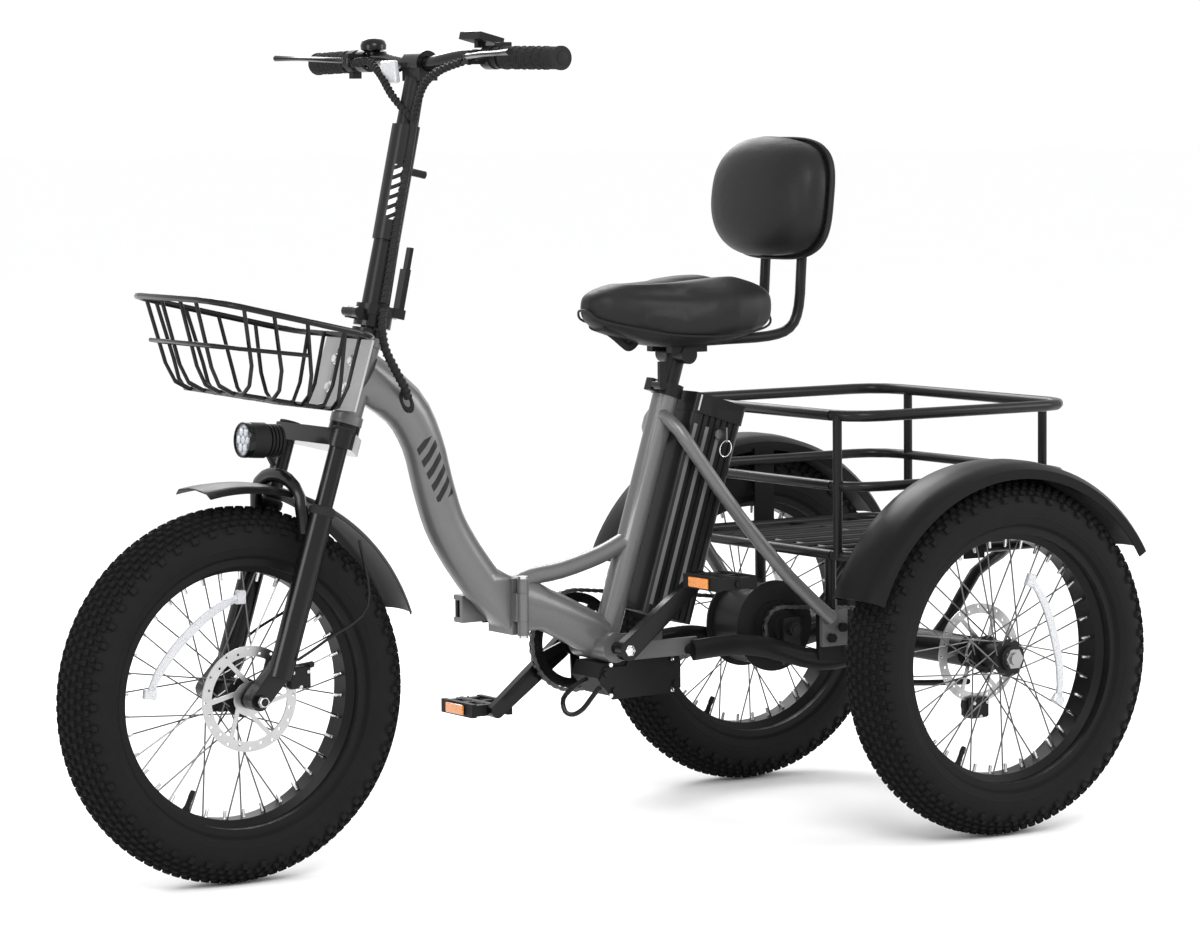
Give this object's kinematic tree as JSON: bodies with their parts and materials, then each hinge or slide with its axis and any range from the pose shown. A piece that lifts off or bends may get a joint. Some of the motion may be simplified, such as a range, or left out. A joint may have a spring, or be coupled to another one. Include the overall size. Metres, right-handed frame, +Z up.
{
  "type": "adult tricycle",
  "caption": "Folding electric three-wheeled bicycle with fat tyres, suspension fork, wide saddle with backrest, front wire basket and rear tubular cargo rack.",
  "frame": {"origin": "on the ground under the middle of the tricycle's box", "axes": "+X forward, +Y to the rider's left, +Z up"},
  "size_m": [1.7608, 0.816, 1.2771],
  "materials": {
    "frame_paint": "satin dark grey metallic",
    "black_paint": "satin black",
    "gloss_black": "gloss black",
    "black_plastic": "fine texture",
    "tyre": "matte, square knobs",
    "steel": "brushed",
    "chrome": "polished",
    "bare_steel": "light grey plate",
    "leather": "smooth black leatherette",
    "grip_rubber": "matte, fine pattern",
    "cable_skin": "spiral wrap",
    "motor_black": "satin black",
    "spoke_steel": "dark",
    "lamp": "finned black"
  },
  "bodies": {
    "rear_frame": {"rear_frame": "frame_paint", "rear_subframe": "black_paint", "rear_rack": "black_paint", "rear_fenders": "black_paint", "controller_box": "black_plastic", "controller_cover": "black_paint", "rest_loop": "gloss_black", "rear_caliper": "motor_black", "frame_hinge_pin": "steel", "chains": "spoke_steel", "seat_clamp": "black_paint"},
    "motor": {"motor_hub": "motor_black"},
    "cranks": {"crankset": "gloss_black"},
    "left_pedal": {"pedal_left": "black_plastic"},
    "right_pedal": {"pedal_right": "black_plastic"},
    "left_wheel": {"rear_axle": "steel", "rear_left_tyre": "tyre", "rear_left_rim": "black_paint", "rear_left_hub": "motor_black", "rear_left_spokes": "spoke_steel", "rear_rotor": "steel"},
    "right_wheel": {"rear_right_tyre": "tyre", "rear_right_rim": "black_paint", "rear_right_hub": "motor_black", "rear_right_spokes": "spoke_steel"},
    "seat": {"seat_post": "black_paint", "saddle": "leather", "backrest_pad": "leather", "backrest_tubes": "black_paint"},
    "clamp_lever": {"seat_clamp_lever": "black_paint"},
    "battery": {"battery_case": "black_plastic"},
    "key": {"battery_key": "chrome"},
    "front_frame": {"main_tube": "frame_paint", "basket_bracket": "bare_steel", "basket_bolts": "chrome", "front_basket": "gloss_black"},
    "frame_latch": {"frame_latch_lever": "black_paint"},
    "fork": {"fork_upper": "gloss_black", "cable_lower": "cable_skin"},
    "fork_slider": {"fork_lowers": "black_paint", "front_fender": "black_paint", "headlight": "lamp", "front_caliper": "motor_black"},
    "front_wheel": {"front_tyre": "tyre", "front_rim": "black_paint", "front_hub": "motor_black", "front_spokes": "spoke_steel", "front_rotor": "steel"},
    "stem": {"stem_post": "black_paint", "stem_cover": "black_plastic", "handlebar": "gloss_black", "bar_clamp": "gloss_black", "grips": "grip_rubber", "brake_perches": "black_paint", "display": "black_plastic", "cable_bundle": "cable_skin"},
    "stem_lever": {"stem_latch": "gloss_black"},
    "left_brake": {"brake_lever_left": "black_paint"},
    "right_brake": {"brake_lever_right": "black_paint"},
    "thumb_throttle": {"throttle": "black_plastic"}
  },
  "joints": [
    {"name": "frame_fold", "type": "hinge", "parent": "rear_frame", "child": "front_frame", "pos_m": [0.105, 0.046, 0.3865], "axis": [0, 0, 1], "range_deg": [0, 110]},
    {"name": "frame_latch", "type": "hinge", "parent": "front_frame", "child": "frame_latch", "pos_m": [0.165, -0.042, 0.381], "axis": [0, 0, 1], "range_deg": [0, 100]},
    {"name": "steering", "type": "hinge", "parent": "front_frame", "child": "fork", "pos_m": [0.392, 0, 0.684], "axis": [0.3007, 0, -0.9537], "range_deg": [-50, 50], "deforming": ["cable_lower"]},
    {"name": "fork_travel", "type": "slide", "parent": "fork", "child": "fork_slider", "axis": [-0.3007, 0, 0.9537], "range_m": [0, 0.03], "stiffness_N_per_m": 9000, "springref_m": -0.035},
    {"name": "front_wheel_spin", "type": "hinge", "parent": "fork_slider", "child": "front_wheel", "pos_m": [0.595, 0, 0.2855], "axis": [0, 1, 0], "continuous": true},
    {"name": "stem_fold", "type": "hinge", "parent": "fork", "child": "stem", "pos_m": [0.37667, 0, 0.85615], "axis": [0, 1, 0], "range_deg": [0, 70]},
    {"name": "stem_latch", "type": "hinge", "parent": "stem", "child": "stem_lever", "pos_m": [0.30031, 0, 0.84952], "axis": [0, -1, 0], "range_deg": [0, 80]},
    {"name": "brake_left", "type": "hinge", "parent": "stem", "child": "left_brake", "pos_m": [0.273, 0.18, 1.238], "axis": [0, 0, 1], "range_deg": [0, 11], "stiffness_Nm_per_rad": 2, "springref_deg": -17.19},
    {"name": "brake_right", "type": "hinge", "parent": "stem", "child": "right_brake", "pos_m": [0.273, -0.18, 1.238], "axis": [0, 0, -1], "range_deg": [0, 11], "stiffness_Nm_per_rad": 2, "springref_deg": -17.19},
    {"name": "throttle_push", "type": "hinge", "parent": "stem", "child": "thumb_throttle", "pos_m": [0.23371, -0.229, 1.23731], "axis": [0, -1, 0], "range_deg": [0, 40], "stiffness_Nm_per_rad": 0.3, "springref_deg": -17.19},
    {"name": "crank_spin", "type": "hinge", "parent": "rear_frame", "child": "cranks", "pos_m": [-0.065, 0, 0.3095], "axis": [0, 1, 0], "continuous": true},
    {"name": "pedal_left_spin", "type": "hinge", "parent": "cranks", "child": "left_pedal", "pos_m": [-0.19804, 0, 0.41533], "axis": [0, 1, 0], "continuous": true},
    {"name": "pedal_right_spin", "type": "hinge", "parent": "cranks", "child": "right_pedal", "pos_m": [0.06804, 0, 0.20367], "axis": [0, 1, 0], "continuous": true},
    {"name": "left_wheel_spin", "type": "hinge", "parent": "rear_frame", "child": "left_wheel", "pos_m": [-0.595, 0, 0.2855], "axis": [0, 1, 0], "continuous": true},
    {"name": "right_wheel_spin", "type": "hinge", "parent": "rear_frame", "child": "right_wheel", "pos_m": [-0.595, 0, 0.2855], "axis": [0, 1, 0], "continuous": true},
    {"name": "motor_spin", "type": "hinge", "parent": "rear_frame", "child": "motor", "pos_m": [-0.379, 0, 0.32], "axis": [0, 1, 0], "continuous": true},
    {"name": "seat_height", "type": "slide", "parent": "rear_frame", "child": "seat", "axis": [-0.3007, 0, 0.9537], "range_m": [0, 0.15]},
    {"name": "clamp_lever", "type": "hinge", "parent": "rear_frame", "child": "clamp_lever", "pos_m": [-0.17012, 0, 0.71994], "axis": [0, 1, 0], "range_deg": [0, 100]},
    {"name": "battery_out", "type": "slide", "parent": "rear_frame", "child": "battery", "axis": [-0.3007, 0, 0.9537], "range_m": [0, 0.05]},
    {"name": "key_turn", "type": "hinge", "parent": "battery", "child": "key", "pos_m": [-0.26999, 0, 0.6376], "axis": [0, 1, 0], "range_deg": [0, 90]}
  ],
  "couplings": [
    {"joint": "motor_spin", "follows": "left_wheel_spin", "ratio": 1.5}
  ]
}
